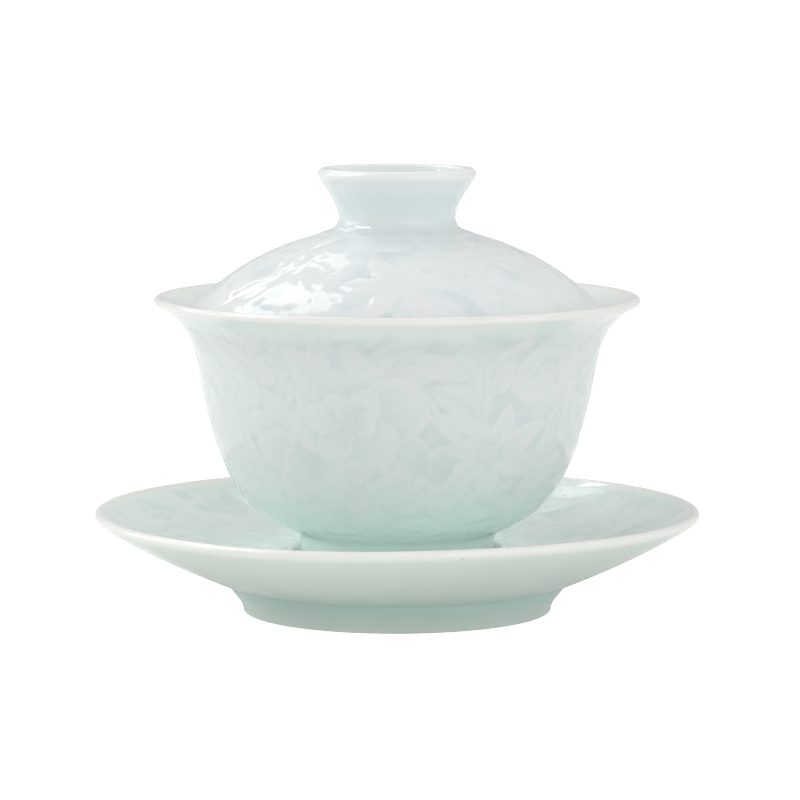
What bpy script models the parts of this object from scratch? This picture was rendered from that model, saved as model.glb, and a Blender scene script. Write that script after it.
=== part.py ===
"""Gaiwan: a lidded tea bowl on its saucer, three turned pieces of glazed porcelain.

The saucer stands on the ground plane. The bowl's foot ring stands inside the saucer's raised
seat ring, and the lid's edge rests inside the bowl's flared mouth. The knob is a hollow ring
that is one piece with the lid. Each piece is a closed outline turned about the Z axis.

Outlines are in millimetres as (radius, height) points, in each piece's own frame, whose
origin is on the turning axis at the piece's lowest point. Objects are in metres. The end of a
curve has a heading: its angle in degrees above level, outwards, and its pull, the length over
which the curve holds to that angle.
"""
import math

import bpy

MM = 0.001
FLATS_ROUND = 48
SEAM_MERGE = 0.00001

# A small gap is left between the bowl's foot and the saucer's well.
GAP = 0.3

# Saucer
SAUCER_RIM_RADIUS = 61.2
SAUCER_HEIGHT = 20.7
SAUCER_LIP_RADIUS = 0.95
SAUCER_FOOT_RADIUS = 31.2
SAUCER_FOOT_INNER_RADIUS = 28.2
SAUCER_FOOT_JOIN = (34.6, 5.8)
SAUCER_RECESS_HEIGHT = 6.4
SAUCER_WELL_HEIGHT = 10.6
SAUCER_WELL_RADIUS = 20.4
SEAT_RING_RADIUS = 21.6
SEAT_RING_HEIGHT = 12.7
SEAT_RING_CREST = 0.6
SAUCER_TROUGH = (26.0, 11.3)
SAUCER_LIP_SLOPE = 36
DISH_START = (0, 13)
DISH_END = (SAUCER_LIP_SLOPE, 9)
FLANGE_START = (21, 7.8)
FLANGE_END = (SAUCER_LIP_SLOPE, 7.5)

# Bowl
BOWL_RIM_RADIUS = 49.0
BOWL_HEIGHT = 53.0
BOWL_LIP_RADIUS = 0.85
BOWL_FOOT_RADIUS = 19.7
BOWL_FOOT_INNER_RADIUS = 17.2
BOWL_FOOT_NECK = (19.6, 2.7)
BOWL_FOOT_JOIN = (21.2, 5.7)
BOWL_WAIST = (38.67, 30.8)
BOWL_RECESS_HEIGHT = 4.9
BOWL_BASE_WALL = 2.7
BOWL_FLOOR_HEIGHT = 7.2
BOWL_LIP_SLOPE = 25.5
BOWL_WAIST_SLOPE = 75.8
BELLY_START = (22, 12.3)
BELLY_END = (BOWL_WAIST_SLOPE, 13.2)
FLARE_START = (BOWL_WAIST_SLOPE, 9.45)
FLARE_END = (BOWL_LIP_SLOPE, 9.8)

# Lid and its hollow knob. Its sink is how far its edge lies below the bowl's rim.
LID_SINK = 4.7
LID_EDGE_RADIUS = 0.95
LID_DOME_END = (41.66, 1.57)
LID_DOME_TOP = (14.56, 17.7)
LID_WALL = 2.3
LID_CEILING_HEIGHT = 17.1
KNOB_WAIST = (11.82, 20.4)
KNOB_LIP = (14.7, 29.25)
KNOB_LIP_RADIUS = 1.25
KNOB_WALL = 2.4
KNOB_FLOOR_HEIGHT = 19.5
KNOB_LIP_SLOPE = 60
DOME_START = (-16.8, 12.65)
DOME_END = (-50, 10.45)

# Foot rings: the rounding of their corners, and how far their inner side leans inwards.
FOOT_ROUNDING = 0.5
FOOT_LEAN = 1.2


def direction(angle):
    """Unit vector at an angle in degrees from the outward radius, counted upwards."""
    turn = math.radians(angle)
    return math.cos(turn), math.sin(turn)


def step(point, angle, distance):
    """The point at a distance from another, in the direction of an angle."""
    across, up = direction(angle)
    return point[0] + across * distance, point[1] + up * distance


def curve(start, leaving, end, arriving, count):
    """Cubic curve between two points, leaving and arriving with the given headings."""
    handles = step(start, *leaving), step(end, arriving[0], -arriving[1])
    knots = (start, *handles, end)
    points = []
    for index in range(count):
        t = index / (count - 1)
        weights = ((1 - t) ** 3, 3 * t * (1 - t) ** 2, 3 * t * t * (1 - t), t ** 3)
        across = sum(weight * knot[0] for weight, knot in zip(weights, knots))
        up = sum(weight * knot[1] for weight, knot in zip(weights, knots))
        points.append((across, up))
    return points


def arc(centre, radius, first, last, count):
    """Points round a circle from one angle to another."""
    turn = (last - first) / (count - 1)
    return [step(centre, first + turn * index, radius) for index in range(count)]


def inner_side(outer, wall_start, wall_end):
    """An outer wall's points moved inwards by a wall thickness that changes evenly.

    The outer wall runs outwards and up, so the inner side is on its left.
    """
    last = len(outer) - 1
    inner = []
    for index, point in enumerate(outer):
        before = outer[max(index - 1, 0)]
        after = outer[min(index + 1, last)]
        heading = math.degrees(math.atan2(after[1] - before[1], after[0] - before[0]))
        wall = wall_start + (wall_end - wall_start) * index / last
        inner.append(step(point, heading + 90, wall))
    return inner


def foot_ring(outer_radius, inner_radius, recess_height):
    """A foot ring's outline: round its outer corner, along its flat, and up into its recess."""
    edge = FOOT_ROUNDING
    outline = arc((outer_radius - edge, edge), edge, 0, -90, 3)
    outline += arc((inner_radius + edge, edge), edge, -90, -170, 3)
    outline += arc((inner_radius - FOOT_LEAN - edge, recess_height - edge), edge, 10, 90, 3)
    outline.append((0.0, recess_height))
    return outline


def rounded_lip(centre, radius, slope, count):
    """A lip's half circle, from its inner side over the top to its outer side."""
    return arc(centre, radius, slope + 90, slope - 90, count)


def saucer_outline():
    """From the middle of the well, over the seat ring and the rim, to the foot's recess."""
    well = [(0.0, SAUCER_WELL_HEIGHT), (SAUCER_WELL_RADIUS, SAUCER_WELL_HEIGHT)]
    crest = (SEAT_RING_RADIUS, SEAT_RING_HEIGHT - SEAT_RING_CREST)
    ring = arc(crest, SEAT_RING_CREST, 165, 45, 4)
    shoulder = curve(ring[-1], (-45, 1.5), SAUCER_TROUGH, (0, 2.5), 4)
    lip_centre = (SAUCER_RIM_RADIUS - SAUCER_LIP_RADIUS, SAUCER_HEIGHT - SAUCER_LIP_RADIUS)
    lip = rounded_lip(lip_centre, SAUCER_LIP_RADIUS, SAUCER_LIP_SLOPE, 5)
    dish = curve(SAUCER_TROUGH, DISH_START, lip[0], DISH_END, 8)
    underside = curve(SAUCER_FOOT_JOIN, FLANGE_START, lip[-1], FLANGE_END, 7)
    foot = foot_ring(SAUCER_FOOT_RADIUS, SAUCER_FOOT_INNER_RADIUS, SAUCER_RECESS_HEIGHT)
    foot_side = curve(SAUCER_FOOT_JOIN, (-122, 2), foot[0], (-95, 2), 5)
    top = well + ring + shoulder[1:] + dish[1:-1]
    return top + lip + underside[-2::-1] + foot_side[1:] + foot[1:]


def bowl_outline():
    """From the middle of the floor, up the inside, over the lip and down to the foot's recess."""
    lip_centre = (BOWL_RIM_RADIUS - BOWL_LIP_RADIUS, BOWL_HEIGHT - BOWL_LIP_RADIUS)
    lip = rounded_lip(lip_centre, BOWL_LIP_RADIUS, BOWL_LIP_SLOPE, 5)
    belly = curve(BOWL_FOOT_JOIN, BELLY_START, BOWL_WAIST, BELLY_END, 8)
    flare = curve(BOWL_WAIST, FLARE_START, lip[-1], FLARE_END, 9)
    wall = belly + flare[1:]
    inside = inner_side(wall, BOWL_BASE_WALL, 2 * BOWL_LIP_RADIUS)
    floor = curve((0.0, BOWL_FLOOR_HEIGHT), (0, 9), inside[0], (22, 4), 4)
    neck = curve(BOWL_FOOT_JOIN, (202, 1.2), BOWL_FOOT_NECK, (-90, 1.4), 4)
    foot = foot_ring(BOWL_FOOT_RADIUS, BOWL_FOOT_INNER_RADIUS, BOWL_RECESS_HEIGHT)
    return floor[:-1] + inside[:-1] + lip + wall[-2::-1] + neck[1:] + foot


def lid_outline():
    """From the middle of the knob's cup, over the knob and the dome, to the dome's ceiling."""
    knob_lip = rounded_lip(KNOB_LIP, KNOB_LIP_RADIUS, KNOB_LIP_SLOPE, 6)
    flare = curve(KNOB_WAIST, (90, 3), knob_lip[-1], (KNOB_LIP_SLOPE, 3), 5)
    cup = inner_side(flare, KNOB_WALL, 2 * KNOB_LIP_RADIUS)
    cup_floor = curve((0.0, KNOB_FLOOR_HEIGHT), (0, 5), cup[0], (90, 1.2), 5)
    neck = curve(KNOB_WAIST, (-90, 1.6), LID_DOME_TOP, (DOME_START[0], 1.6), 4)
    dome = curve(LID_DOME_TOP, DOME_START, LID_DOME_END, DOME_END, 9)
    edge_centre = step(LID_DOME_END, DOME_END[0] - 90, LID_EDGE_RADIUS)
    edge = rounded_lip(edge_centre, LID_EDGE_RADIUS, DOME_END[0], 5)
    underside = inner_side(dome[::-1], 2 * LID_EDGE_RADIUS, LID_WALL)
    ceiling = curve(underside[-1], (180 + DOME_START[0], 5), (0.0, LID_CEILING_HEIGHT), (180, 5), 4)
    outside = cup_floor[:-1] + cup[:-1] + knob_lip + flare[-2::-1] + neck[1:] + dome[1:-1]
    return outside + edge + underside[1:] + ceiling[1:]


def material(name, colour, roughness):
    """Plain glazed porcelain."""
    glaze = bpy.data.materials.new(name)
    glaze.use_nodes = True
    shader = glaze.node_tree.nodes["Principled BSDF"]
    shader.inputs["Base Color"].default_value = (*colour, 1.0)
    shader.inputs["Roughness"].default_value = roughness
    shader.inputs["Metallic"].default_value = 0.0
    glaze.diffuse_color = (*colour, 1.0)
    return glaze


def turned(name, outline, height, glaze):
    """An outline turned about the Z axis, with its origin at a height in millimetres."""
    mesh = bpy.data.meshes.new(name)
    points = [(radius * MM, 0.0, up * MM) for radius, up in outline]
    edges = [(index, index + 1) for index in range(len(points) - 1)]
    mesh.from_pydata(points, edges, [])
    mesh.materials.append(glaze)
    piece = bpy.data.objects.new(name, mesh)
    piece.location.z = height * MM
    bpy.context.collection.objects.link(piece)
    screw = piece.modifiers.new("Turn", "SCREW")
    screw.axis = "Z"
    screw.steps = FLATS_ROUND
    screw.render_steps = FLATS_ROUND
    screw.use_merge_vertices = True
    screw.merge_threshold = SEAM_MERGE
    screw.use_smooth_shade = True
    return piece


def build():
    for old in list(bpy.data.objects):
        bpy.data.objects.remove(old, do_unlink=True)
    bowl_height = SAUCER_WELL_HEIGHT + GAP
    lid_height = bowl_height + BOWL_HEIGHT - LID_SINK
    saucer_glaze = material("saucer_glaze", (0.60, 0.69, 0.66), 0.15)
    bowl_glaze = material("bowl_glaze", (0.63, 0.71, 0.70), 0.12)
    lid_glaze = material("lid_glaze", (0.68, 0.75, 0.75), 0.12)
    saucer = turned("saucer", saucer_outline(), 0.0, saucer_glaze)
    bowl = turned("bowl", bowl_outline(), bowl_height, bowl_glaze)
    lid = turned("lid", lid_outline(), lid_height, lid_glaze)
    return saucer, bowl, lid


build()
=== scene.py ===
"""Looks for the gaiwan: porcelain carved with peonies and lilies under a pale celadon glaze.

Each of the three pieces is one closed turned shell that takes the place of its CAD node. Its
outline is the CAD's, drawn finer, and the parts of it that are carved carry a relief: flowers and
leaves cut into the clay, then a glaze that evens the cuts out, so that it lies thin and white
over the high edges and thick and blue-green in the hollows. The thickness of the glaze goes to
the material as the vertex attribute "glaze", and where the glaze has run together as
"pooled". That attribute also paints light and shade: its colour is pale as
painted fill light low on the bowl and in the saucer's dish, where the pieces shade each other,
and darker as painted shade on the knob and on the saucer's underside by the foot.

Lengths are in millimetres until a mesh is made. A bearing is an angle round the turning axis,
0 at the front (-Y), growing towards +X. An arc is a distance along a wall's outline.
"""

import math
from collections import namedtuple

import bpy
import numpy as np
from mathutils import Matrix, Vector


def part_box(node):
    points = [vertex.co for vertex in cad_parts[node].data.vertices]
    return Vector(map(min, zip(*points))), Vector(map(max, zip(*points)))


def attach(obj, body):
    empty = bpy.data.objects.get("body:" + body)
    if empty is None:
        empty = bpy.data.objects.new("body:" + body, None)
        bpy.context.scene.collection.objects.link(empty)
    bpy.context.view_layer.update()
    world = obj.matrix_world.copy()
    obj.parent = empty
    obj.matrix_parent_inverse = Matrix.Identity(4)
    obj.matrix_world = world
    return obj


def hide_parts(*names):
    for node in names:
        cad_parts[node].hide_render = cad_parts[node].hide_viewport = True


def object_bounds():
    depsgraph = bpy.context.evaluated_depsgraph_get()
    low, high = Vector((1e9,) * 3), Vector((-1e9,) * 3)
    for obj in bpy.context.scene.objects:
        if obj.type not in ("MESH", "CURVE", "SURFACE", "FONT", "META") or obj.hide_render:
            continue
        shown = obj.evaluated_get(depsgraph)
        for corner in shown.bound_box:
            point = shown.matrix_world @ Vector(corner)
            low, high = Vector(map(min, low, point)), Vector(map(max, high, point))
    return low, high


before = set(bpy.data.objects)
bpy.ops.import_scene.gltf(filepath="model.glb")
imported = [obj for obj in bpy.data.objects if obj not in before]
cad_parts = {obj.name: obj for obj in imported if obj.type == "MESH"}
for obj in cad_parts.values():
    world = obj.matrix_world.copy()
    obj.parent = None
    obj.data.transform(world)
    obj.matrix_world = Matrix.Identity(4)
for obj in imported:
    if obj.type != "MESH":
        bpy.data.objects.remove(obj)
cad_low, cad_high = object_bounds()

MM = 0.001
TURN = 2 * math.pi

# Outlines of the CAD, as (radius, height) from each piece's lowest point on the turning axis.
SAUCER_RIM_RADIUS = 61.2
SAUCER_HEIGHT = 20.7
SAUCER_LIP_RADIUS = 0.95
SAUCER_FOOT_RADIUS = 31.2
SAUCER_FOOT_INNER_RADIUS = 28.2
SAUCER_FOOT_JOIN = (34.6, 5.8)
SAUCER_RECESS_HEIGHT = 6.4
SAUCER_WELL_HEIGHT = 10.6
SAUCER_WELL_RADIUS = 20.4
SEAT_RING_RADIUS = 21.6
SEAT_RING_HEIGHT = 12.7
SEAT_RING_CREST = 0.6
SAUCER_TROUGH = (26.0, 11.3)
SAUCER_LIP_SLOPE = 36

BOWL_RIM_RADIUS = 49.0
BOWL_HEIGHT = 53.0
BOWL_LIP_RADIUS = 0.85
BOWL_FOOT_RADIUS = 19.7
BOWL_FOOT_INNER_RADIUS = 17.2
BOWL_FOOT_NECK = (19.6, 2.7)
BOWL_FOOT_JOIN = (21.2, 5.7)
BOWL_WAIST = (38.67, 30.8)
BOWL_RECESS_HEIGHT = 4.9
BOWL_BASE_WALL = 2.7
BOWL_FLOOR_HEIGHT = 7.2
BOWL_LIP_SLOPE = 25.5
BOWL_WAIST_SLOPE = 75.8

LID_EDGE_RADIUS = 0.95
LID_DOME_END = (41.66, 1.57)
LID_DOME_TOP = (14.56, 17.7)
LID_WALL = 2.3
LID_CEILING_HEIGHT = 17.1
LID_TOP_SLOPE = -16.8
LID_EDGE_SLOPE = -50
KNOB_WAIST = (11.82, 20.4)
KNOB_LIP = (14.7, 29.25)
KNOB_LIP_RADIUS = 1.25
KNOB_WALL = 2.4
KNOB_FLOOR_HEIGHT = 19.5
KNOB_LIP_SLOPE = 60

FOOT_ROUNDING = 0.5
FOOT_LEAN = 1.2

# Points along a curve before it is cut into rows, and round a lip.
DENSE = 60
LIP_POINTS = 24

# How far apart the rows of a wall lie, by the kind of place.
FLAT_ROW = 1.7
PLAIN_ROW = 1.3
SLOPE_ROW = 0.9
CUP_ROW = 0.8
BEND_ROW = 0.5
CARVED_ROW = 0.45
FOOT_ROW = 0.4
LIP_ROW = 0.3
RING_ROW = 0.25
CORNER_ROW = 0.2

# Columns round a carved wall. A lip has half as many, and a plain wall a quarter.
CARVED_COLUMNS = {"bowl": 640, "lid": 720, "saucer": 800}

# The finish of a stretch, as an index into the piece's materials.
GLAZED = 0
BARE = 1
# The underside's glaze is partly painted shade.
UNDERNEATH = 2

# Carving: the depth of a cut, and how much of it the ground lies down; the groove that sets one
# shape off from the next; how softly a shape's edge falls; and the lines inside the shapes.
CUT_DEPTH = 0.36
GROUND_SHARE = 0.7
GROOVE_DEPTH = 0.13
GROOVE_REACH = 0.55
EDGE_SOFTNESS = 0.3
VEIN_DEPTH = 0.025
RIB_DEPTH = 0.09
FEATHER_DEPTH = 0.03

# How strongly each piece's grooves are cut, and the lines inside its shapes.
GROOVES = {"bowl": 1.0, "lid": 0.3, "saucer": 1.0}
VEINS = {"bowl": 1.0, "lid": 0.15, "saucer": 0.7}

# Glaze over the carving: how far it evens out the cuts on its outside, how much of them is then
# still felt there, and how far it blurs them where it meets the clay.
GLAZE_EVENS = {"bowl": 0.55, "lid": 0.5, "saucer": 0.8}
FELT = {"bowl": 0.62, "lid": 0.85, "saucer": 0.5}
SETTLED = {"bowl": 0.2, "lid": 0.3, "saucer": 0.35}

# Thickness of the glaze as the material takes it: over plain walls, how strongly it follows the
# carving, the most that a hollow adds, and from how far round a hollow draws its glaze.
GLAZE_LEVEL = {"bowl": 0.42, "lid": 0.36, "saucer": 0.46}
TONES = {"bowl": 1.1, "lid": 1.4, "saucer": 1.2}
THICKEST = {"bowl": 0.25, "lid": 0.6, "saucer": 0.25}
DRAWN_FROM = 3.2

# Seeds for the layouts that are drawn at random.
SEEDS = {"bowl": 11, "lid": 23, "neck": 29, "saucer": 37}

# Thrown and fired pieces are never quite true: a share of the radius, and the rise and fall of
# the saucer's front rim.
OUT_OF_ROUND = {"bowl": 0.0006, "lid": 0.0005, "saucer": 0.0006}
SAUCER_RIM_WARP = 0.45


# ---------------------------------------------------------------- outlines


def direction(angle):
    turn = math.radians(angle)
    return math.cos(turn), math.sin(turn)


def step(point, angle, distance):
    across, up = direction(angle)
    return point[0] + across * distance, point[1] + up * distance


def curve(start, leaving, end, arriving, count=DENSE):
    """Cubic curve between two points. A heading is an angle above level and its pull."""
    handles = step(start, *leaving), step(end, arriving[0], -arriving[1])
    knots = np.array((start, *handles, end), float)
    t = np.linspace(0, 1, count)[:, None]
    weights = np.hstack(((1 - t) ** 3, 3 * t * (1 - t) ** 2, 3 * t * t * (1 - t), t ** 3))
    return weights @ knots


def arc(centre, radius, first, last, count=LIP_POINTS):
    return np.array([step(centre, angle, radius) for angle in np.linspace(first, last, count)])


def distances_along(points):
    steps = np.linalg.norm(np.diff(points, axis=0), axis=1)
    return np.concatenate(([0], np.cumsum(steps)))


def normals_of(points):
    """The direction to the left of an outline at each of its points."""
    heading = np.gradient(points, axis=0)
    heading /= np.linalg.norm(heading, axis=1)[:, None] + 1e-12
    return np.stack((-heading[:, 1], heading[:, 0]), axis=1)


def inner_side(outer, wall_start, wall_end):
    """An outline moved to its left by a wall thickness that changes evenly."""
    wall = np.linspace(wall_start, wall_end, len(outer))[:, None]
    return outer + wall * normals_of(outer)


def lip_of(centre, radius, slope):
    return arc(centre, radius, slope + 90, slope - 90)


def foot_of(outer_radius, inner_radius, recess_height):
    """A foot ring's outer corner, its flat, and its inner side up to the recess."""
    edge = FOOT_ROUNDING
    corner = arc((outer_radius - edge, edge), edge, 0, -90, 8)
    flat = np.array((corner[-1], (inner_radius + edge, 0.0)))
    inner = np.vstack((
        arc((inner_radius + edge, edge), edge, -90, -170, 8),
        arc((inner_radius - FOOT_LEAN - edge, recess_height - edge), edge, 10, 90, 8),
    ))
    recess = np.array((inner[-1], (0.0, recess_height)))
    return corner, flat, inner, recess


def resampled(points, spacing):
    """Points evenly spaced along an outline."""
    points = np.asarray(points, float)
    along = distances_along(points)
    count = max(2, int(round(along[-1] / spacing)) + 1)
    at = np.linspace(0, along[-1], count)
    return np.stack([np.interp(at, along, points[:, axis]) for axis in range(2)], axis=1)


# ---------------------------------------------------------------- carving


def smooth(value, low=0.0, high=1.0):
    t = np.clip((value - low) / (high - low), 0, 1)
    return t * t * (3 - 2 * t)


def blurred(field, row_spread, column_spread):
    """Gaussian blur of a turned field: its columns close round the axis, its rows end."""
    for axis, spread in ((0, row_spread), (1, column_spread)):
        reach = int(math.ceil(2.5 * spread))
        offsets = np.arange(-reach, reach + 1)
        weights = np.exp(-0.5 * (offsets / spread) ** 2)
        weights /= weights.sum()
        padding = [(0, 0), (0, 0)]
        padding[axis] = (reach, reach)
        padded = np.pad(field, padding, mode="wrap" if axis else "edge")
        size = field.shape[axis]
        total = np.zeros_like(field)
        for offset, weight in zip(range(2 * reach + 1), weights):
            part = padded[offset:offset + size] if axis == 0 else padded[:, offset:offset + size]
            total += weight * part
        field = total
    return field


class Relief:
    """The carving of one turned wall: rows along the wall, columns round it.

    On a disc the arc is measured from the turning axis, so a shape keeps its form all over a
    dome or a dish. On a band it is measured up the wall.
    """

    def __init__(self, node, arcs, radii, columns, disc):
        self.node = node
        self.arcs = arcs[:, None]
        self.radii = radii[:, None]
        self.bearings = np.arange(columns)[None, :] * TURN / columns
        self.disc = disc
        self.height = np.full((len(arcs), columns), -GROUND_SHARE * CUT_DEPTH)
        self.marks = np.zeros_like(self.height)
        self.window = None

    def local(self, bearing, arc_at, heading, reach):
        """Distances across and along a shape whose base is at a place on the wall.

        Heading 0 runs on along the arc, and grows clockwise as the carved side is seen. Only
        the rows and columns within reach of the base are worked on.
        """
        turn = (self.bearings - math.radians(bearing) + math.pi) % TURN - math.pi
        rows = np.flatnonzero(np.abs(self.arcs[:, 0] - arc_at) < reach)
        if len(rows) == 0:
            rows = np.array([0])
        widest = min(math.pi, 1.2 * reach / float(self.radii[rows].min()))
        columns = np.flatnonzero(np.abs(turn[0]) <= widest)
        self.window = np.ix_(rows, columns)
        turn = turn[:, columns]
        arcs = self.arcs[rows]
        if self.disc:
            x = arcs * np.sin(turn)
            y = arcs * np.cos(turn) - arc_at
        else:
            x = self.radii[rows] * turn
            y = arcs - arc_at + 0 * turn
        cosine, sine = math.cos(math.radians(heading)), math.sin(math.radians(heading))
        return x * cosine - y * sine, x * sine + y * cosine

    def lay(self, inside, height):
        """Lays a shape over the rest. Inside is the distance in from its edge."""
        cover = smooth(inside, -EDGE_SOFTNESS, EDGE_SOFTNESS)
        beside = np.exp(-(np.minimum(inside, 0) / GROOVE_REACH) ** 2)
        groove = GROOVES[self.node] * GROOVE_DEPTH * beside
        around = self.height[self.window] - groove * (1 - cover)
        self.height[self.window] = around * (1 - cover) + height * cover

    def petal(self, bearing, arc_at, heading, length, width, draw, ruffle=0.05, low=0.85):
        """A rounded petal: high and thin at its ruffled tip, sinking towards its base."""
        across, along = self.local(bearing, arc_at, heading, 1.2 * length + 0.5 * width + 2)
        half = length / 2
        v = (along - half) / half
        u = across / (width / 2 * (0.62 + 0.38 * smooth(v, -1, 0.2)))
        phases = draw.uniform(0, TURN, 4)
        angle = np.arctan2(u, v)
        wave = np.sin(2 * angle + phases[0]) + 0.7 * np.sin(5 * angle + phases[1])
        wave += 0.5 * np.sin(9 * angle + phases[2])
        reach = np.hypot(u, v) * (1 + ruffle * wave)
        inside = (1 - reach) * min(length, width) / 2
        rise = np.clip((v + 1) / 2, 0, 1)
        height = -CUT_DEPTH * low * (1 - rise) ** 1.15
        height -= 0.12 * smooth(inside, 0.0, 1.4)
        fan = np.arctan2(across, along + 0.3 * length)
        height += CUT_DEPTH * (draw.uniform(-0.32, 0.0) + draw.uniform(-0.22, 0.22) * u)
        veins = np.sin(fan * 30 + phases[3] + 0.8 * np.sin(along * 0.9))
        shown = smooth(inside, 0.2, 1.6) * (0.4 + 0.6 * rise)
        height += VEIN_DEPTH * VEINS[self.node] * veins * shown
        self.lay(inside, height)

    def leaf(self, bearing, arc_at, heading, length, width, draw, bend=0.0, low=0.5, veins=1.0):
        """A pointed leaf or lily petal, folded along its middle rib."""
        across, along = self.local(bearing, arc_at, heading, 1.2 * length + 2)
        within = np.clip(along / length, 0, 1)
        across = across - bend * length * 4 * within * (1 - within)
        full = (4 * within * (1 - within)) ** 0.8 * (1.12 - 0.3 * within)
        edge = 1 + 0.06 * np.sin(along * 1.7 + draw.uniform(0, TURN)) * np.sign(across)
        inside = (width / 2 * full * edge - np.abs(across)) * 0.92
        beyond = np.maximum(np.maximum(-along, along - length), 0)
        inside = np.where(beyond > 0, -np.hypot(beyond, np.abs(across)), inside)
        side = np.clip(np.abs(across) / (width / 2), 0, 1)
        tilt = np.where(across > 0, 0.7, 1.15)
        height = -CUT_DEPTH * low * tilt * (1 - side) ** 0.9 * (1.1 - 0.5 * within)
        height += CUT_DEPTH * draw.uniform(-0.3, 0.0)
        strength = VEINS[self.node] * veins
        height -= RIB_DEPTH * strength * np.exp(-(across / 0.38) ** 2)
        feathered = np.sin((along - 0.9 * np.abs(across)) * 3.3)
        shown = smooth(side, 0.08, 0.3) * smooth(inside, 0.1, 0.8)
        height += FEATHER_DEPTH * strength * feathered * shown
        self.lay(inside, height)

    def stem(self, bearing, arc_at, heading, length, width, bend=0.0):
        """A rounded stem that bows to one side."""
        across, along = self.local(bearing, arc_at, heading, 1.2 * length + 2)
        within = np.clip(along / length, 0, 1)
        across = across - bend * length * 4 * within * (1 - within)
        beyond = np.maximum(np.maximum(-along, along - length), 0)
        inside = width / 2 - np.hypot(across, beyond)
        height = -0.14 * CUT_DEPTH - 0.1 * (2 * across / width) ** 2
        self.lay(inside, np.maximum(height, -CUT_DEPTH))

    def heart(self, bearing, arc_at, size, draw):
        """A flower's middle: a low button with a ring of stamens."""
        across, along = self.local(bearing, arc_at, 0, 2 * size + 2)
        reach = np.hypot(across, along)
        self.lay(size - reach, -0.14 + 0.06 * np.cos(reach / size * 2.4))
        stamens = 11
        for stamen in range(stamens):
            angle = stamen * TURN / stamens + draw.uniform(-0.2, 0.2)
            far = size * draw.uniform(0.95, 1.35)
            away = np.hypot(across - far * math.cos(angle), along - far * math.sin(angle))
            self.lay(0.5 - away, -0.05 - 0.1 * away)

    def hollow(self, bearing, arc_at, reach, depth):
        """Cuts back what lies round a flower, so that the flower stands out from it."""
        across, along = self.local(bearing, arc_at, 0, 2 * reach)
        self.height[self.window] -= depth * np.exp(-(across ** 2 + along ** 2) / reach ** 2)

    def pit(self, bearing, arc_at, size, depth):
        """A small crater in the glaze, with a raised brim."""
        across, along = self.local(bearing, arc_at, 0, 3 * size)
        reach = np.hypot(across, along) / size
        crater = 0.6 * np.exp(-((reach - 1.1) / 0.4) ** 2) - np.exp(-(reach / 0.7) ** 2)
        self.marks[self.window] += depth * crater

    def peony(self, bearing, arc_at, size, draw):
        """Three rings of ruffled petals, the inner ones cupped over the outer ones."""
        start = draw.uniform(0, 360)
        # Each ring: petals, their length and breadth for the flower's size, how low they sink.
        rings = ((7, 1.0, 0.86, 0.8), (6, 0.7, 0.66, 0.9), (4, 0.42, 0.45, 1.0))
        for count, reach, breadth, low in rings:
            for petal in range(count):
                heading = start + petal * 360 / count + draw.uniform(-9, 9)
                length = size * reach * draw.uniform(0.9, 1.08)
                width = size * breadth * draw.uniform(0.9, 1.12)
                self.petal(bearing, arc_at, heading, length, width, draw, 0.05, low)
            start += 180 / count + 14
        self.petal(bearing, arc_at - 0.1 * size, start, size * 0.28, size * 0.3, draw, 0.04, 1.0)

    def lily(self, bearing, arc_at, size, draw):
        """Six pointed petals in two rings round a ring of stamens."""
        self.hollow(bearing, arc_at, size, 0.16)
        start = draw.uniform(0, 360)
        for ring in range(2):
            for petal in range(3):
                heading = start + 60 * ring + 120 * petal + draw.uniform(-8, 8)
                length = size * draw.uniform(0.92, 1.12)
                width = size * draw.uniform(0.42, 0.52)
                bend = draw.uniform(-0.08, 0.08)
                self.leaf(bearing, arc_at, heading, length, width, draw, bend, 0.5, 0.7)
        self.heart(bearing, arc_at, size * 0.13, draw)

    def spray(self, bearing, arc_at, size, draw, count=6):
        """Leaves that come out from under a flower, drawn before it."""
        start = draw.uniform(0, 360)
        for leaf in range(count):
            heading = start + leaf * 360 / count + draw.uniform(-16, 16)
            length = size * draw.uniform(1.35, 1.75)
            width = length * draw.uniform(0.3, 0.4)
            self.leaf(bearing, arc_at, heading, length, width, draw, draw.uniform(-0.12, 0.12))

    def sprays(self, flowers, draw):
        for _, bearing, arc_at, size in flowers:
            self.spray(bearing, arc_at, size, draw)

    def blooms(self, flowers, draw, lily_share=1.0):
        """Each flower of a layout. A lily can be made smaller than its size says."""
        for kind, bearing, arc_at, size in flowers:
            if kind == "peony":
                self.peony(bearing, arc_at, size, draw)
            else:
                self.lily(bearing, arc_at, size * lily_share, draw)

    def ground(self, count, draw, size):
        """Petals and leaves strewn all over, so that no bare ground is left."""
        low, high = float(self.arcs.min()), float(self.arcs.max())
        for shape in range(count):
            bearing = draw.uniform(0, 360)
            arc_at = draw.uniform(low, high)
            heading = draw.uniform(0, 360)
            length = size * draw.uniform(0.75, 1.3)
            if shape % 3:
                self.leaf(bearing, arc_at, heading, length * 1.2, length * 0.42, draw, 0.08)
            else:
                self.petal(bearing, arc_at, heading, length, length * 0.85, draw)

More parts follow.
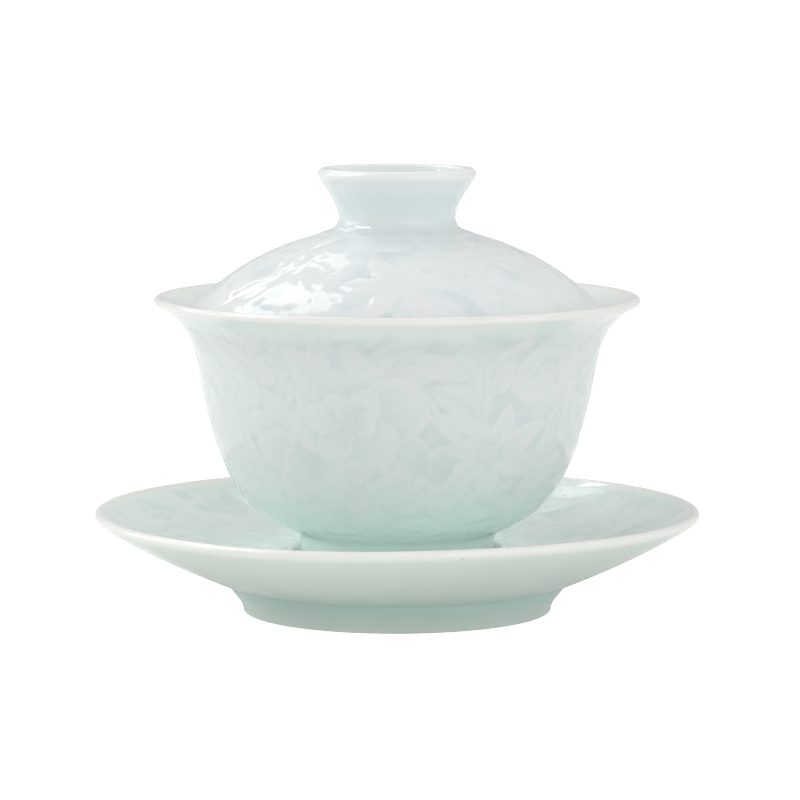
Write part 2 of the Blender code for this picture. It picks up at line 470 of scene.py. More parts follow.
    def shaped(self, fade_low, fade_high):
        """How far the glaze's outside stands out, and how thick the glaze is, row by row.

        The carving fades out over a distance at each end of the wall. Half way down a cut is
        the level of the CAD's outline.
        """
        row_size = abs(float(self.arcs[1, 0] - self.arcs[0, 0]))
        column_size = float(self.radii.mean()) * TURN / self.height.shape[1]
        span = self.arcs - self.arcs.min(), self.arcs.max() - self.arcs
        fade = smooth(span[0], 0.2, fade_low) * smooth(span[1], 0.2, fade_high)
        level = -0.5 * CUT_DEPTH
        cut = (self.height - level) * fade
        evens = GLAZE_EVENS[self.node]
        even = blurred(cut, evens / row_size, evens / column_size)
        wide = blurred(cut, DRAWN_FROM / row_size, DRAWN_FROM / column_size)
        settles = SETTLED[self.node]
        settled = blurred(cut, settles / row_size, settles / column_size)
        outside = FELT[self.node] * (0.9 * even + 0.1 * settled) + self.marks
        thickness = TONES[self.node] * (0.35 * (wide - settled) - 0.6 * settled)
        thickest = THICKEST[self.node]
        gathered = thickest * np.tanh(np.maximum(thickness, 0) / thickest)
        return outside, np.minimum(thickness, 0) + gathered


def bowl_carving(arcs, radii, columns):
    """Peonies, lilies and leaves all round the bowl; arcs count up from the foot."""
    draw = np.random.default_rng(SEEDS["bowl"])
    relief = Relief("bowl", arcs, radii, columns, disc=False)
    relief.ground(900, draw, 12.0)
    # Each flower: kind, bearing, arc, size.
    flowers = (
        ("peony", 70, 33, 14), ("lily", 101, 22, 13), ("peony", 128, 36, 13),
        ("lily", 150, 16, 11), ("peony", 176, 31, 15), ("lily", 205, 42, 12),
        ("peony", 222, 22, 13), ("lily", 250, 36, 13), ("peony", 283, 31, 14),
        ("lily", 312, 44, 10), ("lily", 58, 14, 10), ("lily", 88, 45, 10),
        ("lily", 268, 14, 9), ("peony", 345, 10, 10), ("lily", 20, 10, 10),
    )
    relief.sprays(flowers, draw)
    relief.blooms(flowers, draw)
    front_of_bowl(relief, draw)
    return relief


def front_of_bowl(relief, draw):
    """The group on the bowl's front: a peony, a broad flower below it, and a lily."""
    # Leaves: base bearing, base arc, heading, length, width, bend.
    leaves = (
        (-42, 41, -66, 19, 5.0, 0.05), (2, 44.5, 103, 13, 5.5, -0.08), (-4, 42, 75, 9, 3.4, 0.05),
        (26, 33, -60, 14, 6.2, 0.06), (25, 32, -4, 15, 3.6, 0.03), (27, 38, 30, 9, 4.2, 0.1),
        (55, 35, -46, 12, 4.6, -0.08), (12, 25.5, 242, 16, 6.6, -0.1), (-43, 8, -32, 17, 5.0, 0.1),
        (-33, 34, 20, 14, 5.0, 0.1), (5, 16, 70, 13, 5.0, 0.1), (-8, 17, 200, 12, 5.5, 0.0),
        (44, 18, 60, 13, 5.0, 0.1), (-52, 26, 10, 13, 4.6, -0.1), (40, 48, 95, 12, 4.5, 0.05),
        (8, 49, 250, 13, 4.2, 0.08), (-20, 50, 70, 12, 4.0, -0.06),
    )
    for bearing, arc_at, heading, length, width, bend in leaves:
        relief.leaf(bearing, arc_at, heading, length, width, draw, bend)
    relief.stem(-22, 8, -20, 14, 1.2, -0.06)
    # Petals of each flower: heading, length, width, from the back one to the front one.
    broad_at = (-27, 24)
    broad = ((-59, 17, 8), (-104, 15, 7.5), (-72, 13, 9.5), (185, 12, 11), (150, 9, 9),
             (222, 10, 9), (-20, 8, 7), (-90, 7, 6.5), (140, 6, 6), (200, 6.5, 6))
    for heading, length, width in broad:
        relief.petal(*broad_at, heading, length, width, draw)
    relief.petal(13, 22, -52, 14, 7.5, draw)
    relief.petal(18, 20, -30, 9, 6, draw)
    lily_at = (29, 26)
    lily = ((-36, 9, 4.5), (20, 11, 5.2), (66, 15, 5.8), (107, 13.5, 6.2), (170, 11.5, 5.4),
            (224, 12, 5.4), (-83, 10, 4.8))
    relief.hollow(*lily_at, 12, 0.12)
    for heading, length, width in lily:
        relief.leaf(*lily_at, heading, length, width, draw, 0.05, 0.45, 0.7)
    relief.heart(*lily_at, 1.5, draw)
    relief.leaf(-16, 33, -40, 19, 9, draw, 0.1, 0.7, 0.4)
    peony_at = (-14, 33)
    peony = ((-52, 13, 9), (-28, 11.5, 9), (24, 11, 9), (62, 15, 9.5), (245, 11, 7.5),
             (173, 9.5, 9.5), (86, 16, 10), (132, 11, 11), (215, 9.5, 8), (-80, 9, 7),
             (45, 8, 6.5), (-42, 6.8, 6.4), (38, 6, 6), (100, 5.5, 5.5), (-5, 4.6, 5))
    for heading, length, width in peony:
        relief.petal(*peony_at, heading, length, width, draw)


def lid_carving(arcs, radii, columns):
    """A lily at the front of the dome, others round it, and petals that ring the knob."""
    draw = np.random.default_rng(SEEDS["lid"])
    relief = Relief("lid", arcs, radii, columns, disc=True)
    relief.ground(420, draw, 13.0)
    # Each flower: kind, bearing, arc, size.
    flowers = (
        ("peony", 47, 32, 11), ("lily", 92, 35, 11), ("peony", 132, 31, 12),
        ("lily", 172, 36, 11), ("peony", 212, 31, 12), ("lily", 255, 35, 11),
        ("peony", 300, 32, 12), ("lily", 335, 38, 9),
    )
    relief.sprays(flowers, draw)
    round_knob = 11
    for petal in range(round_knob):
        bearing = petal * 360 / round_knob + draw.uniform(-5, 5)
        length = draw.uniform(9, 12)
        relief.petal(bearing, 12.5, draw.uniform(-12, 12), length, length * 0.95, draw)
    relief.blooms(flowers, draw)
    front_at = (0, 34)
    # Petals of the front lily: heading, length, width.
    front = ((-35, 12, 4.9), (30, 13, 5), (95, 13, 4.7), (150, 11, 5), (-95, 12, 4.6),
             (205, 11, 5))
    relief.hollow(*front_at, 12, 0.19)
    for heading, length, width in front:
        relief.leaf(*front_at, heading, length, width, draw, 0.06, 0.35, 1.0)
    relief.heart(*front_at, 1.5, draw)
    relief.pit(-27, 39.7, 0.8, 0.12)
    return relief


def neck_carving(arcs, radii, columns):
    """The tips of the petals that ring the knob, where they climb its neck."""
    draw = np.random.default_rng(SEEDS["neck"])
    relief = Relief("lid", arcs, radii, columns, disc=False)
    round_neck = 13
    for petal in range(round_neck):
        bearing = petal * 360 / round_neck + draw.uniform(-6, 6)
        relief.petal(bearing, -1.5, draw.uniform(-14, 14), 5.2, 6.5, draw)
    return relief


def saucer_carving(arcs, radii, columns):
    """Broad flowers round the saucer's dish, peonies and lilies in turn."""
    draw = np.random.default_rng(SEEDS["saucer"])
    relief = Relief("saucer", arcs, radii, columns, disc=True)
    relief.ground(700, draw, 13.0)
    flowers = [("peony" if spot % 2 else "lily", spot * 36 + 8, 44 + 5 * (-1) ** (spot // 2), 14)
               for spot in range(10)]
    relief.sprays(flowers, draw)
    relief.blooms(flowers, draw, lily_share=0.95)
    return relief


# ---------------------------------------------------------------- shells


class Stretch:
    """A part of an outline: its points, its columns, its finish, and its carving if it has one.

    The carving's arcs count on from arc_zero, or up from the stretch's far end.
    """

    def __init__(self, points, spacing, columns, finish=GLAZED, carve=None, arc_zero=0.0,
                 upwards=False, fades=(3.0, 3.0)):
        self.points = resampled(points, spacing)
        self.columns = columns
        self.finish = finish
        self.outside = self.thickness = None
        if carve:
            along = distances_along(self.points)
            arcs = arc_zero + (along[-1] - along if upwards else along)
            relief = carve(arcs, self.points[:, 0], columns)
            self.outside, self.thickness = relief.shaped(*fades)


# One ring of a shell: radii, heights and glaze by column, then its columns, finish and pool. The
# pool's colour is in places painted fill light and in places painted shade.
Ring = namedtuple("Ring", "radii heights glaze columns finish pooled")


def is_pole(ring):
    return ring.radii.max() < 1e-6


def rings_of(stretches, glaze_pools_and_painted_light, level):
    """Every ring of a shell, in the order of its stretches.

    A pool is a place on the outline, how far it reaches, and how much glaze lies there: above 0
    it has run together, and its colour there is painted fill light on the bowl and in the
    saucer's dish and painted shade on the knob and the saucer's underside; below 0 it has run
    off an edge.
    """
    points = np.vstack([s.points[(1 if i else 0):] for i, s in enumerate(stretches)])
    normals = normals_of(points)
    glaze = np.full(len(points), level)
    pooled = np.zeros(len(points))
    for place, reach, amount in glaze_pools_and_painted_light:
        apart = np.linalg.norm(points - np.array(place), axis=1)
        share = amount * np.exp(-(apart / reach) ** 2)
        if amount < 0:
            glaze += share
        else:
            pooled += share
    rings = []
    row = 0
    for index, stretch in enumerate(stretches):
        for at in range(1 if index else 0, len(stretch.points)):
            radius, up = points[row]
            offset = np.zeros(stretch.columns)
            tone = np.full(stretch.columns, glaze[row])
            if stretch.outside is not None:
                offset = offset + stretch.outside[at]
                tone = tone + stretch.thickness[at]
            rings.append(Ring(
                radius + normals[row, 0] * offset,
                up + normals[row, 1] * offset,
                tone,
                stretch.columns,
                stretch.finish,
                pooled[row],
            ))
            row += 1
    return rings


def ring_places(ring, wobble, warp):
    """Where a ring's points lie: a little out of round, and out of true at the front rim."""
    bearing = np.arange(ring.columns) * TURN / ring.columns
    sway = 1 + wobble * (np.sin(2 * bearing + 0.7) + 0.6 * np.sin(3 * bearing + 2.1))
    front = (bearing + math.pi) % TURN - math.pi
    outer = smooth(ring.radii, 25, 60)
    lift = warp * np.sin(2 * front) * np.exp(-front ** 2) * outer
    return np.stack((
        ring.radii * sway * np.sin(bearing),
        -ring.radii * sway * np.cos(bearing),
        ring.heights + lift,
    ), axis=1)


def faces_between(rings, starts):
    """Faces that join each ring to the next, also where the number of columns changes."""
    faces, finishes = [], []
    for index in range(len(rings) - 1):
        ring, following = rings[index], rings[index + 1]
        first, second = starts[index], starts[index + 1]
        columns, next_columns = ring.columns, following.columns
        if is_pole(ring):
            made = [(first, second + j, second + (j + 1) % next_columns)
                    for j in range(next_columns)]
        elif is_pole(following):
            made = [(first + j, second, first + (j + 1) % columns) for j in range(columns)]
        elif columns >= next_columns:
            share = columns // next_columns
            made = []
            for j in range(next_columns):
                fine = [first + (j * share + k) % columns for k in range(share, -1, -1)]
                made.append((second + j, second + (j + 1) % next_columns, *fine))
        else:
            share = next_columns // columns
            made = []
            for j in range(columns):
                fine = [second + (j * share + k) % next_columns for k in range(share + 1)]
                made.append((first + (j + 1) % columns, first + j, *fine))
        faces += made
        finishes += [following.finish] * len(made)
    return faces, finishes


def add_attribute(mesh, name, values):
    attribute = mesh.attributes.new(name, "FLOAT", "POINT")
    attribute.data.foreach_set("value", np.concatenate(values).astype(np.float32))


def shell(name, node, stretches, glaze_pools_and_painted_light, materials, warp=0.0):
    """A closed turned shell that stands for a CAD node and rides on the body of that name."""
    rings = rings_of(stretches, glaze_pools_and_painted_light, GLAZE_LEVEL[node])
    places, tones, pooled, starts = [], [], [], []
    total = 0
    for ring in rings:
        starts.append(total)
        if is_pole(ring):
            places.append(np.array([[0.0, 0.0, ring.heights.mean()]]))
            tones.append(np.array([ring.glaze.mean()]))
        else:
            places.append(ring_places(ring, OUT_OF_ROUND[node], warp))
            tones.append(ring.glaze)
        pooled.append(np.full(len(places[-1]), ring.pooled))
        total += len(places[-1])
    coordinates = np.vstack(places) * MM
    coordinates[:, 2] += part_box(node)[0].z
    faces, finishes = faces_between(rings, starts)
    mesh = bpy.data.meshes.new(name)
    mesh.from_pydata(coordinates.tolist(), [], faces)
    mesh.polygons.foreach_set("material_index", np.array(finishes, np.int32))
    mesh.polygons.foreach_set("use_smooth", np.ones(len(faces), bool))
    add_attribute(mesh, "glaze", tones)
    add_attribute(mesh, "pooled", pooled)
    for material in materials:
        mesh.materials.append(material)
    mesh.update()
    piece = bpy.data.objects.new(name, mesh)
    bpy.context.scene.collection.objects.link(piece)
    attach(piece, node)
    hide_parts(node)
    return piece


# ---------------------------------------------------------------- materials

# Colours of the glaze as seen, from 0 where it is thinnest to 1 where it is thickest.
BOWL_STOPS = (
    (0.0, (216, 215, 212)), (0.2, (223, 225, 222)), (0.45, (217, 225, 223)),
    (0.7, (204, 217, 215)), (1.0, (182, 206, 202)),
)
LID_STOPS = (
    (0.0, (220, 220, 219)), (0.2, (229, 232, 231)), (0.45, (224, 231, 231)),
    (0.7, (213, 222, 223)), (1.0, (196, 212, 212)),
)
SAUCER_STOPS = (
    (0.0, (218, 217, 214)), (0.2, (224, 226, 223)), (0.45, (218, 226, 223)),
    (0.7, (204, 217, 214)), (1.0, (181, 205, 201)),
)
# The saucer's underside: a greener glaze, darker throughout as painted shade.
UNDERSIDE_SHADED_STOPS = (
    (0.0, (216, 215, 212)), (0.2, (217, 222, 215)), (0.45, (207, 216, 208)),
    (0.7, (190, 208, 198)), (1.0, (160, 190, 180)),
)

# Colours where the glaze has run together, which are also painted light. Low on the bowl and in
# the saucer's dish, where the pieces shade each other, they are made pale as painted fill light
# against that shade; on the knob and at the saucer's foot they are darker as painted shade.
BOWL_POOLED_PAINTED_FILL_COLOUR = (226, 245, 240)
SAUCER_POOLED_PAINTED_FILL_COLOUR = (230, 247, 242)
KNOB_PAINTED_SHADE_COLOUR = (213, 223, 223)
UNDERSIDE_POOLED_PAINTED_SHADE_COLOUR = (184, 208, 199)

SPECK_COLOUR = (150, 148, 132)
CLAY_STOPS = ((0.3, (214, 206, 192)), (0.7, (236, 230, 219)))

GLAZE_ROUGHNESS = 0.07
LID_ROUGHNESS = 0.03
CLAY_ROUGHNESS = 0.55

# The depth of relief that is too fine for a mesh, in metres.
BUMP_DEPTH = 0.0001


def node_of(tree, kind, **values):
    made = tree.nodes.new(kind)
    for key, value in values.items():
        if key in made.inputs:
            made.inputs[key].default_value = value
        else:
            setattr(made, key, value)
    return made


def noise(tree, where, scale, detail=2.0):
    made = node_of(tree, "ShaderNodeTexNoise", Scale=scale, Detail=detail, Roughness=0.5)
    tree.links.new(where.outputs["Object"], made.inputs["Vector"])
    return made.outputs["Fac"]


def maths(tree, operation, first, second):
    made = tree.nodes.new("ShaderNodeMath")
    made.operation = operation
    for socket, value in zip(made.inputs, (first, second)):
        if isinstance(value, (int, float)):
            socket.default_value = value
        else:
            tree.links.new(value, socket)
    return made.outputs[0]


def scaled(tree, value, factor):
    return maths(tree, "MULTIPLY", value, factor)


def centred_noise(tree, where, scale, detail):
    """Noise that is as often below 0 as above it."""
    return maths(tree, "SUBTRACT", noise(tree, where, scale, detail), 0.5)


def linear(colour):
    """A colour of 0 to 255 as seen, in linear light."""
    values = np.array(colour, float) / 255
    return (*np.where(values < 0.04045, values / 12.92, ((values + 0.055) / 1.055) ** 2.4), 1.0)


def ramp(tree, value, stops):
    made = tree.nodes.new("ShaderNodeValToRGB")
    elements = made.color_ramp.elements
    while len(elements) < len(stops):
        elements.new(0.5)
    for element, (at, colour) in zip(elements, stops):
        element.position = at
        element.color = linear(colour)
    tree.links.new(value, made.inputs["Fac"])
    return made.outputs["Color"]


def mixed(tree, share, below, above):
    """A linked colour with a share of a plain one over it."""
    made = node_of(tree, "ShaderNodeMix", data_type="RGBA", clamp_factor=True)
    tree.links.new(share, made.inputs[0])
    tree.links.new(below, made.inputs[6])
    made.inputs[7].default_value = linear(above)
    return made.outputs[2]


def new_material(name):
    """A material, its tree, its shader and its texture coordinates."""
    material = bpy.data.materials.new(name)
    material.use_nodes = True
    tree = material.node_tree
    return material, tree, tree.nodes["Principled BSDF"], tree.nodes.new("ShaderNodeTexCoord")


def add_bump(tree, shader, height, strength):
    bump = node_of(tree, "ShaderNodeBump", Strength=strength, Distance=BUMP_DEPTH)
    tree.links.new(height, bump.inputs["Height"])
    tree.links.new(bump.outputs["Normal"], shader.inputs["Normal"])


def glaze_colour(tree, where, stops, pool_and_painted_light_colour):
    """White where the glaze is thin, blue-green where it is thick, unevenly mixed."""
    thickness = node_of(tree, "ShaderNodeAttribute", attribute_name="glaze").outputs["Fac"]
    # The pooled colour over the tone is glaze run together, and also painted fill light on the
    # bowl and in the saucer's dish and painted shade on the knob and the saucer's underside.
    pooled = node_of(tree, "ShaderNodeAttribute", attribute_name="pooled").outputs["Fac"]
    broad = centred_noise(tree, where, 38, 3)
    cloudy = centred_noise(tree, where, 210, 2)
    uneven = maths(tree, "ADD", scaled(tree, broad, 0.16), scaled(tree, cloudy, 0.10))
    tone = ramp(tree, maths(tree, "ADD", thickness, uneven), stops)
    drifting = scaled(tree, maths(tree, "MULTIPLY", pooled, broad), 0.9)
    return mixed(tree, maths(tree, "ADD", pooled, drifting), tone, pool_and_painted_light_colour)


def specked(tree, where, colour):
    """A colour with a few small dark specks, as iron in the clay leaves in the firing."""
    cells = node_of(tree, "ShaderNodeTexVoronoi", Scale=170.0, Randomness=1.0)
    tree.links.new(where.outputs["Object"], cells.inputs["Vector"])
    chosen = maths(tree, "GREATER_THAN", noise(tree, where, 95, 0), 0.715)
    near = maths(tree, "LESS_THAN", cells.outputs["Distance"], 0.045)
    speck = scaled(tree, maths(tree, "MULTIPLY", chosen, near), 0.5)
    return mixed(tree, speck, colour, SPECK_COLOUR)


def glaze_material(name, stops, pool_and_painted_light_colour, roughness=GLAZE_ROUGHNESS):
    """Glossy glaze that lets some light in, with a slight orange peel."""
    material, tree, shader, where = new_material(name)
    colour = specked(tree, where, glaze_colour(tree, where, stops, pool_and_painted_light_colour))
    tree.links.new(colour, shader.inputs["Base Color"])
    spread = scaled(tree, centred_noise(tree, where, 60, 3), 0.09)
    tree.links.new(maths(tree, "ADD", spread, roughness), shader.inputs["Roughness"])
    shader.inputs["IOR"].default_value = 1.5
    shader.inputs["Subsurface Weight"].default_value = 0.7
    shader.inputs["Subsurface Radius"].default_value = (1.0, 1.0, 0.95)
    shader.inputs["Subsurface Scale"].default_value = 0.004
    fine, coarse = noise(tree, where, 420, 1), noise(tree, where, 130, 2)
    add_bump(tree, shader, maths(tree, "ADD", fine, scaled(tree, coarse, 2.0)), 0.12)
    return material


def clay_material(name):
    """The unglazed flat of a foot ring: dry, fine white clay."""
    material, tree, shader, where = new_material(name)
    grains = noise(tree, where, 900, 3)
    tree.links.new(ramp(tree, grains, CLAY_STOPS), shader.inputs["Base Color"])
    roughness = maths(tree, "ADD", scaled(tree, grains, 0.2), CLAY_ROUGHNESS)
    tree.links.new(roughness, shader.inputs["Roughness"])
    add_bump(tree, shader, grains, 0.4)
    return material


# ---------------------------------------------------------------- pieces


def columns_of(node):
    """The columns round a piece's carved wall, its lip and its plain walls."""
    carved = CARVED_COLUMNS[node]
    return carved, carved // 2, carved // 4


def lip_pool(lip_centre):
    """Where glaze has run off a rim, most of all from the top of its lip."""
    return (lip_centre[0], lip_centre[1] + 0.3), 1.3, -0.6


def saucer_piece(materials):
    carved, lipped, plain = columns_of("saucer")
    lip_centre = (SAUCER_RIM_RADIUS - SAUCER_LIP_RADIUS, SAUCER_HEIGHT - SAUCER_LIP_RADIUS)
    lip = lip_of(lip_centre, SAUCER_LIP_RADIUS, SAUCER_LIP_SLOPE)
    # The underside's glaze, greener and painted darker as shade, starts two thirds of the way
    # round the lip.
    turning = 2 * LIP_POINTS // 3
    lip_top, lip_under = lip[:turning], lip[turning - 1:]
    crest = (SEAT_RING_RADIUS, SEAT_RING_HEIGHT - SEAT_RING_CREST)
    ring = arc(crest, SEAT_RING_CREST, 165, 45, 12)
    shoulder = curve(ring[-1], (-45, 1.5), SAUCER_TROUGH, (0, 2.5))
    dish = curve(SAUCER_TROUGH, (0, 13), lip[0], (SAUCER_LIP_SLOPE, 9))
    underside = curve(SAUCER_FOOT_JOIN, (21, 7.8), lip[-1], (SAUCER_LIP_SLOPE, 7.5))[::-1]
    corner, flat, inner, recess = foot_of(
        SAUCER_FOOT_RADIUS, SAUCER_FOOT_INNER_RADIUS, SAUCER_RECESS_HEIGHT)
    foot_side = curve(SAUCER_FOOT_JOIN, (-122, 2), corner[0], (-95, 2))
    well = np.array(((0.0, SAUCER_WELL_HEIGHT), (SAUCER_WELL_RADIUS, SAUCER_WELL_HEIGHT)))
    stretches = (
        Stretch(well, FLAT_ROW, plain),
        Stretch(np.vstack((well[-1], ring)), RING_ROW, plain),
        Stretch(shoulder, BEND_ROW, plain),
        Stretch(dish, CARVED_ROW, carved, carve=saucer_carving, arc_zero=SAUCER_TROUGH[0],
                fades=(2.5, 2.0)),
        Stretch(lip_top, LIP_ROW, lipped),
        Stretch(lip_under, LIP_ROW, lipped, UNDERNEATH),
        Stretch(underside, SLOPE_ROW, plain, UNDERNEATH),
        Stretch(foot_side, FOOT_ROW, plain, UNDERNEATH),
        Stretch(corner, CORNER_ROW, plain, UNDERNEATH),
        Stretch(flat, BEND_ROW, plain, BARE),
        Stretch(inner, BEND_ROW, plain, UNDERNEATH),
        Stretch(recess, FLAT_ROW, plain, UNDERNEATH),
    )
    glaze_pools_and_painted_light = (
        lip_pool(lip_centre),
        # At the foot's join and in the recess the underside's darker pool colour is painted shade.
        (SAUCER_FOOT_JOIN, 3.0, 0.8),
        # At the well's edge and in the trough the pale pool colour is painted fill light.
        (well[-1], 2.0, 0.8),
        (crest, 0.9, -0.3),
        (SAUCER_TROUGH, 10.0, 1.0),
        ((SAUCER_FOOT_INNER_RADIUS - FOOT_LEAN, SAUCER_RECESS_HEIGHT), 2.0, 0.8),
    )
    return shell("saucer_porcelain", "saucer", stretches, glaze_pools_and_painted_light, materials, SAUCER_RIM_WARP)


def bowl_piece(materials):
    carved, lipped, plain = columns_of("bowl")
    lip_centre = (BOWL_RIM_RADIUS - BOWL_LIP_RADIUS, BOWL_HEIGHT - BOWL_LIP_RADIUS)
    lip = lip_of(lip_centre, BOWL_LIP_RADIUS, BOWL_LIP_SLOPE)
    belly = curve(BOWL_FOOT_JOIN, (22, 12.3), BOWL_WAIST, (BOWL_WAIST_SLOPE, 13.2))
    flare = curve(BOWL_WAIST, (BOWL_WAIST_SLOPE, 9.45), lip[-1], (BOWL_LIP_SLOPE, 9.8))
    wall = np.vstack((belly, flare[1:]))
    inside = inner_side(wall, BOWL_BASE_WALL, 2 * BOWL_LIP_RADIUS)
    bottom_middle = (0.0, BOWL_FLOOR_HEIGHT)
    bottom = curve(bottom_middle, (0, 9), inside[0], (22, 4))
    neck = curve(BOWL_FOOT_JOIN, (202, 1.2), BOWL_FOOT_NECK, (-90, 1.4))
    corner, flat, inner, recess = foot_of(
        BOWL_FOOT_RADIUS, BOWL_FOOT_INNER_RADIUS, BOWL_RECESS_HEIGHT)
    stretches = (
        Stretch(bottom, PLAIN_ROW, plain),
        Stretch(inside, PLAIN_ROW, plain),
        Stretch(lip, LIP_ROW, lipped),
        Stretch(wall[::-1], CARVED_ROW, carved, carve=bowl_carving, upwards=True,
                fades=(5.0, 6.5)),
        Stretch(neck, FOOT_ROW, plain),
        Stretch(np.vstack((neck[-1], corner)), LIP_ROW, plain),
        Stretch(flat, BEND_ROW, plain, BARE),
        Stretch(inner, BEND_ROW, plain),
        Stretch(recess, PLAIN_ROW, plain),
    )
    glaze_pools_and_painted_light = (
        lip_pool(lip_centre),
        # Glaze run together low on the belly and in the bottom; its pale colour there is painted
        # fill light.
        (BOWL_FOOT_JOIN, 15.0, 1.0),
        (bottom_middle, 14.0, 0.6),
        (corner[0], 0.8, -0.3),
    )
    return shell("bowl_porcelain", "bowl", stretches, glaze_pools_and_painted_light, materials)


def lid_piece(materials):
    carved, lipped, plain = columns_of("lid")
    knob_lip = lip_of(KNOB_LIP, KNOB_LIP_RADIUS, KNOB_LIP_SLOPE)
    flare = curve(KNOB_WAIST, (90, 3), knob_lip[-1], (KNOB_LIP_SLOPE, 3))
    cup = inner_side(flare, KNOB_WALL, 2 * KNOB_LIP_RADIUS)
    cup_middle = (0.0, KNOB_FLOOR_HEIGHT)
    cup_floor = curve(cup_middle, (0, 5), cup[0], (90, 1.2))
    neck = curve(KNOB_WAIST, (-90, 1.6), LID_DOME_TOP, (LID_TOP_SLOPE, 1.6))
    dome = curve(LID_DOME_TOP, (LID_TOP_SLOPE, 12.65), LID_DOME_END, (LID_EDGE_SLOPE, 10.45))
    edge_centre = step(LID_DOME_END, LID_EDGE_SLOPE - 90, LID_EDGE_RADIUS)
    edge = lip_of(edge_centre, LID_EDGE_RADIUS, LID_EDGE_SLOPE)
    underside = inner_side(dome[::-1], 2 * LID_EDGE_RADIUS, LID_WALL)
    ceiling = curve(underside[-1], (180 + LID_TOP_SLOPE, 5), (0.0, LID_CEILING_HEIGHT), (180, 5))
    stretches = (
        Stretch(cup_floor, CUP_ROW, plain),
        Stretch(cup, CUP_ROW, plain),
        Stretch(knob_lip, LIP_ROW, plain),
        Stretch(flare[::-1], BEND_ROW, plain),
        Stretch(neck, RING_ROW, lipped, carve=neck_carving, upwards=True, fades=(0.8, 1.6)),
        Stretch(dome, CARVED_ROW, carved, carve=lid_carving, arc_zero=LID_DOME_TOP[0],
                fades=(2.0, 3.0)),
        Stretch(edge, LIP_ROW, lipped),
        Stretch(underside, PLAIN_ROW, plain),
        Stretch(ceiling, PLAIN_ROW, plain),
    )
    knob_side_middle = (13.0, 24.0)
    glaze_pools_and_painted_light = (
        (KNOB_LIP, 2.4, -0.5),
        (edge_centre, 2.0, -0.4),
        # On the knob's side and in its cup the pool's darker colour is painted shade.
        (knob_side_middle, 5.5, 1.0),
        (cup_middle, 7.0, 0.6),
    )
    return shell("lid_porcelain", "lid", stretches, glaze_pools_and_painted_light, materials)


clay = clay_material("bare_clay")
saucer_piece((
    glaze_material("saucer_glaze", SAUCER_STOPS, SAUCER_POOLED_PAINTED_FILL_COLOUR), clay,
    glaze_material("saucer_underside_shaded_glaze", UNDERSIDE_SHADED_STOPS, UNDERSIDE_POOLED_PAINTED_SHADE_COLOUR),
))
bowl_piece((glaze_material("bowl_glaze", BOWL_STOPS, BOWL_POOLED_PAINTED_FILL_COLOUR), clay))
lid_piece((glaze_material("lid_glaze", LID_STOPS, KNOB_PAINTED_SHADE_COLOUR, LID_ROUGHNESS), clay))


# ---------------------------------------------------------------- floor, light and camera

# From here on lengths are in metres.
FLOOR_HALF_WIDTH = 12.0
FLOOR_GREY = 0.78
FLOOR_GLOW = 0.165
FLOOR_GLOW_SEEN = 0.6

# The studio's brightness, and how it grows along X, Y and Z.
STUDIO_LEVEL = 0.685
STUDIO_SLOPE = (0.04, -0.06, 0.20)

CAMERA_PLACE = (0.0, -0.8897, 0.14377)
CAMERA_AIM = (0.0006, 0.0, 0.04269)
CAMERA_LENS = 199.47


def floor():
    """A wide matt floor that gives off a little light, and more of it to the camera."""
    half = FLOOR_HALF_WIDTH
    mesh = bpy.data.meshes.new("floor")
    mesh.from_pydata([(-half, -half, 0), (half, -half, 0), (half, half, 0), (-half, half, 0)],
                     [], [(0, 1, 2, 3)])
    material = bpy.data.materials.new("floor_white")
    material.use_nodes = True
    tree = material.node_tree
    shader = tree.nodes["Principled BSDF"]
    shader.inputs["Base Color"].default_value = (FLOOR_GREY, FLOOR_GREY, FLOOR_GREY, 1)
    shader.inputs["Roughness"].default_value = 0.9
    shader.inputs["Specular IOR Level"].default_value = 0.0
    shader.inputs["Emission Color"].default_value = (1, 1, 1, 1)
    path = tree.nodes.new("ShaderNodeLightPath")
    seen = scaled(tree, path.outputs["Is Camera Ray"], FLOOR_GLOW_SEEN)
    tree.links.new(maths(tree, "ADD", seen, FLOOR_GLOW), shader.inputs["Emission Strength"])
    mesh.materials.append(material)
    piece = bpy.data.objects.new("floor", mesh)
    bpy.context.scene.collection.objects.link(piece)


def softbox(name, place, towards, distance, long_side, width, length, radiance, only_shine=False):
    """A rectangular soft light with the given brightness of its face.

    It lies in a direction from the place it lights, faces it, and its length runs as nearly as
    it can along its long side's direction. One that is only for shine shows in reflections but
    lights nothing.
    """
    lamp = bpy.data.lights.new(name, "AREA")
    lamp.shape = "RECTANGLE"
    lamp.size = width
    lamp.size_y = length
    lamp.energy = radiance * width * length * math.pi
    box = bpy.data.objects.new(name, lamp)
    outwards = Vector(towards).normalized()
    along = Vector(long_side)
    along = (along - along.dot(outwards) * outwards).normalized()
    across = along.cross(outwards)
    box.rotation_euler = Matrix((across, along, outwards)).transposed().to_euler()
    box.location = place + outwards * distance
    box.visible_diffuse = not only_shine
    bpy.context.scene.collection.objects.link(box)


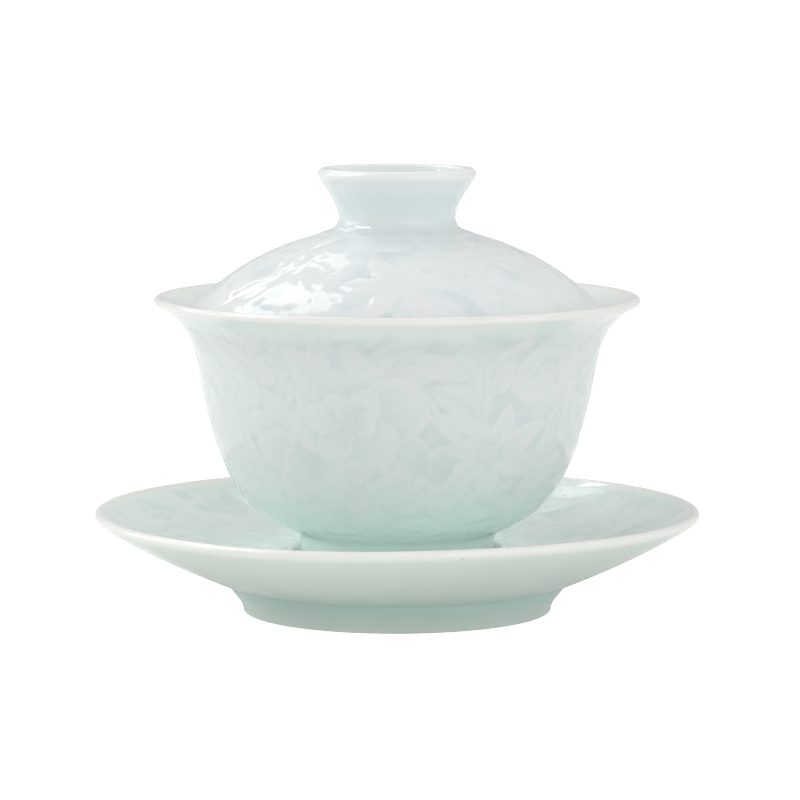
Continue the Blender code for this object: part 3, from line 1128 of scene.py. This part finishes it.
def softboxes():
    """The lid's highlights, the broad light from the front and the left, the knob's shine."""
    lid_left = (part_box("lid")[0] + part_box("lid")[1]) / 2 + Vector((-0.025, -0.015, -0.005))
    middle = (cad_low + cad_high) / 2
    knob = Vector((0.0, 0.0, cad_high.z))
    softbox("key", lid_left, (-0.46, 0.36, 0.81), 0.6, (-0.34, 0.78, -0.53), 0.17, 0.42, 2.5)
    softbox("strip", lid_left, (-0.365, 0.73, 0.56), 0.5, (0.72, -0.16, 0.67), 0.027, 0.19, 3.4)
    softbox("front_box", middle, (0.62, -0.77, 0.17), 1.6, (0.77, 0.62, 0.0), 0.75, 1.8, 1.45)
    softbox("left_box", middle, (-0.93, 0.12, 0.26), 1.2, (0.0, 1.0, 0.0), 0.5, 1.1, 2.5)
    softbox("top_shine", knob, (-0.06, 0.69, 0.72), 0.6, (1.0, 0.09, 0.0), 0.18, 0.26, 1.3,
            only_shine=True)
    softbox("knob_shine", knob, (-0.77, -0.12, 0.62), 0.6, (-0.15, 0.99, 0.0), 0.12, 0.34, 11.0,
            only_shine=True)


def surroundings():
    """A studio that is white to the camera, and to all else brightest above and in front."""
    world = bpy.data.worlds.new("studio")
    bpy.context.scene.world = world
    world.use_nodes = True
    tree = world.node_tree
    background = tree.nodes["Background"]
    where = tree.nodes.new("ShaderNodeTexCoord")
    slope = tree.nodes.new("ShaderNodeVectorMath")
    slope.operation = "DOT_PRODUCT"
    tree.links.new(where.outputs["Generated"], slope.inputs[0])
    slope.inputs[1].default_value = STUDIO_SLOPE
    level = maths(tree, "ADD", slope.outputs["Value"], STUDIO_LEVEL)
    path = tree.nodes.new("ShaderNodeLightPath")
    seen = node_of(tree, "ShaderNodeMix", data_type="FLOAT")
    tree.links.new(path.outputs["Is Camera Ray"], seen.inputs[0])
    tree.links.new(level, seen.inputs[2])
    seen.inputs[3].default_value = 1.0
    background.inputs["Color"].default_value = (1, 1, 1, 1)
    tree.links.new(seen.outputs[0], background.inputs["Strength"])


def add_camera():
    lens = bpy.data.cameras.new("camera")
    lens.lens = CAMERA_LENS
    lens.sensor_width = 36.0
    lens.clip_end = 60.0
    camera = bpy.data.objects.new("camera", lens)
    camera.location = CAMERA_PLACE
    aim = Vector(CAMERA_AIM) - Vector(CAMERA_PLACE)
    camera.rotation_euler = aim.to_track_quat("-Z", "Y").to_euler()
    bpy.context.scene.collection.objects.link(camera)
    bpy.context.scene.camera = camera


floor()
surroundings()
softboxes()
add_camera()
bpy.context.scene.view_settings.view_transform = "Standard"
